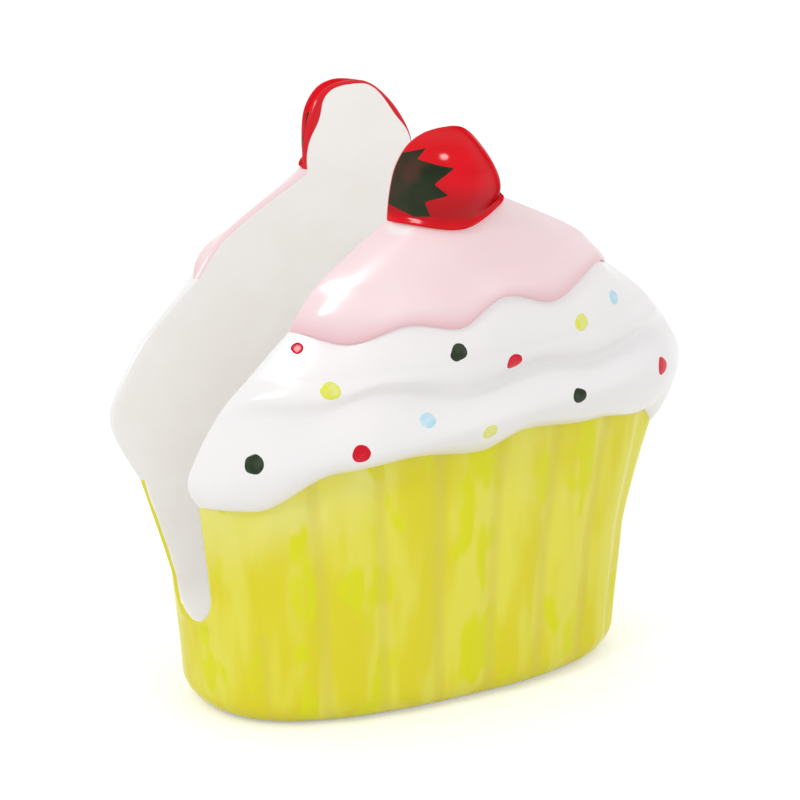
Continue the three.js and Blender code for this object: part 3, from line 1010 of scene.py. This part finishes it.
def glaze(name, patch_scale, stretch, ripple, ior=1.5, edge_ior=None):
    """A glossy glaze material: itself, its tree, its base colour and the group's three outputs."""
    material = bpy.data.materials.new(name)
    material.use_nodes = True
    tree = material.node_tree
    shader = tree.nodes["Principled BSDF"]
    shader.inputs["Roughness"].default_value = GLAZE_ROUGHNESS
    shader.inputs["IOR"].default_value = ior
    if edge_ior:
        edge_on = ramp(tree, tree.nodes.new("ShaderNodeLayerWeight").outputs["Facing"], *EDGE_ON)
        weaker = maths(tree, "MULTIPLY", edge_on, ior - edge_ior)
        tree.links.new(maths(tree, "SUBTRACT", ior, weaker), shader.inputs["IOR"])
    outputs = place_group(tree, patch_scale, stretch)
    bump = tree.nodes.new("ShaderNodeBump")
    bump.inputs["Strength"].default_value = ripple
    bump.inputs["Distance"].default_value = RIPPLE_HEIGHT
    tree.links.new(outputs["Ripple"], bump.inputs["Height"])
    tree.links.new(bump.outputs["Normal"], shader.inputs["Normal"])
    return material, tree, shader.inputs["Base Color"], outputs


def dress(pieces, material):
    """Gives some pieces a material in place of any that they had."""
    for piece in pieces:
        piece.data.materials.clear()
        piece.data.materials.append(material)
    print(material.name, "on", ", ".join(piece.name for piece in pieces))


print(f"the glaze has a roughness of {GLAZE_ROUGHNESS}")

# %% [markdown]
# ## White icing
#
# The icing is the plain white glaze. Light under the surface would make it waxy, and glazed clay isn't,
# so it only gets a faint drift between a cooler and a warmer white. It is a little less glossy than the
# stronger colours, which softens its reflections.

# %% Icing glaze
SOFT_ROUGHNESS = 0.22
icing_glaze, tree, base, parts = glaze(
    "white_icing_glaze", patch_scale=22.0, stretch=(30, 30, 30), ripple=0.05
)
drift = ramp(tree, parts["Patches"], *DRIFT)
tree.links.new(mix_colours(tree, drift, colour(242, 240, 240), colour(247, 244, 243)), base)
base.node.inputs["Roughness"].default_value = SOFT_ROUGHNESS
dress((*lower_icings, *upper_icings), icing_glaze)

# %% [markdown]
# ## Yellow wrapper
#
# The yellow was brushed on from top to bottom: long soft strokes, short patches of a stronger yellow,
# paler near the top, and a dull beige line in the grooves, where the colour ran thin over the clay. A
# painted picture would fit one side only, so the strokes are noise that is drawn out along the height.
# The foot is wiped clean before firing, so the ring that the holder stands on shows bare clay.

# %% Wrapper glaze
WRAPPER_PATCHES = 24.0
GROOVE_TINT = 0.45
WIPED_FROM = 0.0006
WIPED_TO = 0.0002
DRYNESS = 0.75
yellow_glaze, tree, base, parts = glaze(
    "brushed_yellow_glaze",
    patch_scale=WRAPPER_PATCHES,
    stretch=(120, 120, 22),
    ripple=0.06,
    ior=1.38,
    edge_ior=1.12,
)
strokes = ramp(tree, parts["Streaks"], 0.40, 0.60)
brushed = mix_colours(tree, strokes, colour(228, 217, 30), colour(234, 227, 76))
high = ramp(tree, attribute(tree, "height"), 0.15, 0.95)
pale = maths(tree, "MULTIPLY", high, ramp(tree, parts["Patches"], 0.36, 0.60))
brushed = mix_colours(tree, pale, brushed, colour(236, 232, 128))
# Short patches of a stronger, more saturated yellow, drawn out along the height.
short_strokes = place_group(tree, WRAPPER_PATCHES, (105, 105, 44))["Streaks"]
strong_yellow_patches = ramp(tree, short_strokes, 0.55, 0.62)
brushed = mix_colours(tree, strong_yellow_patches, brushed, colour(226, 225, 0))
thin = maths(tree, "MULTIPLY", ramp(tree, attribute(tree, "groove"), 0.6, 1.0), GROOVE_TINT)
brushed = mix_colours(tree, thin, brushed, colour(222, 207, 84))
place = tree.nodes.new("ShaderNodeSeparateXYZ")
tree.links.new(tree.nodes.new("ShaderNodeTexCoord").outputs["Object"], place.inputs[0])
wiped = ramp(tree, place.outputs["Z"], WIPED_FROM, WIPED_TO)
tree.links.new(mix_colours(tree, wiped, brushed, colour(231, 221, 203)), base)
dry = maths(tree, "MULTIPLY", wiped, DRYNESS)
tree.links.new(maths(tree, "ADD", dry, GLAZE_ROUGHNESS), base.node.inputs["Roughness"])
dress(wrappers, yellow_glaze)

# %% [markdown]
# ## Pink topping and red cherry
#
# The pink is a thin wash that pools along its scalloped lower edge, and is painted darker there: partly
# pooled glaze and partly painted shade under the lip. The red is thick, and is painted deepest in the
# hollow just above the flange: partly gathered glaze and partly painted shade in that hollow. Both follow
# the edges of their piece, which noise can't know, so the mesh keeps them as values on its vertices.

# %% Pink glaze
pink_glaze, tree, base, parts = glaze(
    "pink_topping_glaze", patch_scale=30.0, stretch=(30, 30, 30), ripple=0.05
)
drift = ramp(tree, parts["Patches"], *DRIFT)
wash = mix_colours(tree, drift, colour(250, 226, 228), colour(246, 219, 222))
# Painted shade with pooled glaze: a darker pink along the lower edge and under the lip.
wash = mix_colours(tree, attribute(tree, "glaze_pool_and_shade"), wash, colour(238, 192, 200))
tree.links.new(mix_colours(tree, attribute(tree, "missed"), wash, colour(243, 241, 239)), base)
base.node.inputs["Roughness"].default_value = SOFT_ROUGHNESS
dress(toppings, pink_glaze)

# %% Red glaze and painted leaves
BRUSH_UNEVEN = 0.7
LEAF_EDGE = (0.25, 0.45)
red_glaze, tree, base, parts = glaze(
    "red_cherry_glaze", patch_scale=60.0, stretch=(80, 80, 80), ripple=0.05, ior=1.28, edge_ior=1.01
)
drift = ramp(tree, parts["Patches"], *DRIFT)
red = mix_colours(tree, drift, colour(214, 0, 16), colour(232, 0, 28))
# Painted shade with gathered glaze: a deeper red in the hollow above the flange.
red = mix_colours(tree, attribute(tree, "glaze_pool_and_shade"), red, colour(184, 0, 16))
brush = maths(tree, "MULTIPLY", parts["Streaks"], BRUSH_UNEVEN)
sprig = ramp(tree, maths(tree, "ADD", attribute(tree, "leaf"), brush), *LEAF_EDGE)
drift = ramp(tree, parts["Patches"], 0.4, 0.6)
green = mix_colours(tree, drift, colour(22, 38, 10), colour(40, 48, 24))
green = mix_colours(tree, ramp(tree, parts["Streaks"], 0.55, 0.8), green, colour(80, 46, 36))
tree.links.new(mix_colours(tree, sprig, red, green), base)
dress(cherries, red_glaze)

# %% [markdown]
# ## Dot colours
#
# The dabs are the same kinds of glaze colour. One material with a random colour would do for sprinkles,
# but here each colour has its place, so each has its own. It is a little thinner, and so paler, in spots.

# %% Dot glazes
DOT_SHADES = {
    "red": (colour(212, 0, 36), colour(224, 30, 54)),
    "green": (colour(36, 52, 30), colour(58, 70, 52)),
    "yellow": (colour(230, 233, 92), colour(234, 235, 150)),
    "blue": (colour(180, 226, 242), colour(208, 233, 242)),
}
for shade, (deep_shade, thin_shade) in DOT_SHADES.items():
    dot_glaze, tree, base, parts = glaze(
        f"{shade}_dot_glaze", patch_scale=420.0, stretch=(300, 300, 300), ripple=0.04, ior=1.3
    )
    thinner = ramp(tree, parts["Patches"], 0.42, 0.66)
    tree.links.new(mix_colours(tree, thinner, deep_shade, thin_shade), base)
    dress((dots[shade],), dot_glaze)

# %% [markdown]
# ## White lining
#
# The slot is plain white and a little warmer than the icing. Each layer's colour laps round the rim in
# an uneven line. A strip of mesh for each lap would show its edges, so the lining repeats the colour of
# its neighbour close to its outline.

# %% Lining glaze
LAP_EDGE = (-0.1, 0.1)
lining_glaze, tree, base, parts = glaze(
    "white_slot_glaze", patch_scale=90.0, stretch=(60, 60, 60), ripple=0.04, ior=1.38
)
drift = ramp(tree, parts["Patches"], *DRIFT)
white = mix_colours(tree, drift, colour(248, 245, 241), colour(250, 248, 245))
coat = attribute(tree, "coat")
lap = mix_colours(tree, ramp(tree, coat, 0.3, 0.7), colour(222, 216, 45), colour(243, 242, 240))
lap = mix_colours(tree, ramp(tree, coat, 1.3, 1.7), lap, colour(247, 218, 222))
lap = mix_colours(tree, ramp(tree, coat, 2.3, 2.7), lap, colour(218, 0, 26))
lapped = ramp(tree, attribute(tree, "lap"), *LAP_EDGE)
tree.links.new(mix_colours(tree, lapped, white, lap), base)
dress((lining,), lining_glaze)

# %% [markdown]
# ## Bare clay
#
# The bottom plate is left unglazed so that it doesn't stick to the kiln shelf. It could be modelled
# again, but it is flat and the CAD shape is all there is to it. So it keeps that shape and gets a dry,
# slightly gritty clay.

# %% Base plate clay
CLAY_ROUGHNESS = 0.85
GRIT_SCALE = 900.0
GRIT_DETAIL = 5.0
GRIT_STRENGTH = 0.3
GRIT_HEIGHT = 0.0003
bare_clay = bpy.data.materials.new("bare_clay")
bare_clay.use_nodes = True
tree = bare_clay.node_tree
shader = tree.nodes["Principled BSDF"]
shader.inputs["Roughness"].default_value = CLAY_ROUGHNESS
grit = tree.nodes.new("ShaderNodeTexNoise")
grit.inputs["Scale"].default_value = GRIT_SCALE
grit.inputs["Detail"].default_value = GRIT_DETAIL
tree.links.new(tree.nodes.new("ShaderNodeTexCoord").outputs["Object"], grit.inputs["Vector"])
grains = ramp(tree, grit.outputs["Fac"], 0.3, 0.7)
clay = mix_colours(tree, grains, colour(225, 213, 193), colour(236, 227, 211))
tree.links.new(clay, shader.inputs["Base Color"])
bump = tree.nodes.new("ShaderNodeBump")
bump.inputs["Strength"].default_value = GRIT_STRENGTH
bump.inputs["Distance"].default_value = GRIT_HEIGHT
tree.links.new(grit.outputs["Fac"], bump.inputs["Height"])
tree.links.new(bump.outputs["Normal"], shader.inputs["Normal"])
dress((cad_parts["base_plate"],), bare_clay)

# %% [markdown]
# ## Studio
#
# The photograph was taken from the left and a little above with a long lens, on white. A picture of a
# real studio could light it, but its windows and lamps would show in the glaze. So the world is an even
# white that lights everything softly, and a softbox up on the left makes that side a little brighter.
# A highlight as clear as the photograph's needs more light than the colours can take, so a second
# softbox shows only in reflections. The floor is a wide pale sheet that still takes the shadow.

# %% Camera
CAMERA_AZIMUTH = math.radians(-31.65)
CAMERA_ELEVATION = math.radians(18.07)
CAMERA_DISTANCE = 1.163
CAMERA_TARGET = Vector((0.0, 0.0, 0.06742))
LENS = 222.0
SENSOR = 36.0


def direction(azimuth, elevation):
    """Unit vector from the object towards a place at an azimuth and elevation."""
    level = math.cos(elevation)
    return Vector((math.sin(azimuth) * level, -math.cos(azimuth) * level, math.sin(elevation)))


camera = bpy.data.objects.new("camera", bpy.data.cameras.new("camera"))
camera.data.lens = LENS
camera.data.sensor_width = SENSOR
camera.location = CAMERA_TARGET + CAMERA_DISTANCE * direction(CAMERA_AZIMUTH, CAMERA_ELEVATION)
camera.rotation_euler = (CAMERA_TARGET - camera.location).to_track_quat("-Z", "Y").to_euler()
bpy.context.collection.objects.link(camera)
bpy.context.scene.camera = camera
bpy.context.scene.view_settings.view_transform = "Standard"
print("camera at", tuple(round(value, 3) for value in camera.location))

# %% Floor
FLOOR_HALF_SIZE = 6.0
FLOOR_SHADE = 0.84
FLOOR_ROUGHNESS = 0.9
FLOOR_GLOW = 0.35
floor_bm = bmesh.new()
bmesh.ops.create_grid(floor_bm, x_segments=1, y_segments=1, size=FLOOR_HALF_SIZE)
floor_mesh = bpy.data.meshes.new("floor")
floor_bm.to_mesh(floor_mesh)
floor_bm.free()
floor = bpy.data.objects.new("floor", floor_mesh)
bpy.context.collection.objects.link(floor)
floor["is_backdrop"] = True

floor_paper = bpy.data.materials.new("white_paper")
floor_paper.use_nodes = True
tree = floor_paper.node_tree
shader = tree.nodes["Principled BSDF"]
shader.inputs["Base Color"].default_value = (FLOOR_SHADE, FLOOR_SHADE, FLOOR_SHADE, 1.0)
shader.inputs["Roughness"].default_value = FLOOR_ROUGHNESS
shader.inputs["Specular IOR Level"].default_value = 0.0
shader.inputs["Emission Color"].default_value = (1.0, 1.0, 1.0, 1.0)
rays = tree.nodes.new("ShaderNodeLightPath").outputs
reflected = maths(tree, "MAXIMUM", rays["Is Glossy Ray"], rays["Is Transmission Ray"])
seen = maths(tree, "MAXIMUM", rays["Is Camera Ray"], reflected)
tree.links.new(maths(tree, "MULTIPLY", seen, FLOOR_GLOW), shader.inputs["Emission Strength"])
floor.data.materials.append(floor_paper)
print(f"floor of {2 * FLOOR_HALF_SIZE:.0f} m by {2 * FLOOR_HALF_SIZE:.0f} m")

# %% World and softboxes
WORLD_LIGHT = 0.92
SOFTBOX_AZIMUTH = math.radians(-64)
SOFTBOX_ELEVATION = math.radians(42)
SOFTBOX_DISTANCE = 1.1
SOFTBOX_SIZE = 0.18
SOFTBOX_WATTS = 1.5
SHINE_AZIMUTH = math.radians(-66)
SHINE_ELEVATION = math.radians(46)
SHINE_SIZE = 0.27
SHINE_WATTS = 5.0

world = bpy.data.worlds.new("studio")
bpy.context.scene.world = world
world.use_nodes = True
sky = world.node_tree.nodes["Background"]
sky.inputs["Color"].default_value = (1.0, 1.0, 1.0, 1.0)
sky.inputs["Strength"].default_value = WORLD_LIGHT


def softbox(name, azimuth, elevation, size, watts):
    """A round softbox that faces the object."""
    light = bpy.data.lights.new(name, "AREA")
    light.shape = "DISK"
    light.size = size
    light.energy = watts
    lamp = bpy.data.objects.new(name, light)
    lamp.location = CAMERA_TARGET + SOFTBOX_DISTANCE * direction(azimuth, elevation)
    lamp.rotation_euler = (CAMERA_TARGET - lamp.location).to_track_quat("-Z", "Y").to_euler()
    bpy.context.collection.objects.link(lamp)
    print(name, "at", tuple(round(value, 3) for value in lamp.location))
    return lamp


key = softbox("softbox", SOFTBOX_AZIMUTH, SOFTBOX_ELEVATION, SOFTBOX_SIZE, SOFTBOX_WATTS)
key.visible_glossy = False
shine = softbox("shine", SHINE_AZIMUTH, SHINE_ELEVATION, SHINE_SIZE, SHINE_WATTS)
shine.visible_diffuse = False

# %% Check the size and finish
low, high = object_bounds()
print("visual box in metres:", tuple(low), tuple(high))
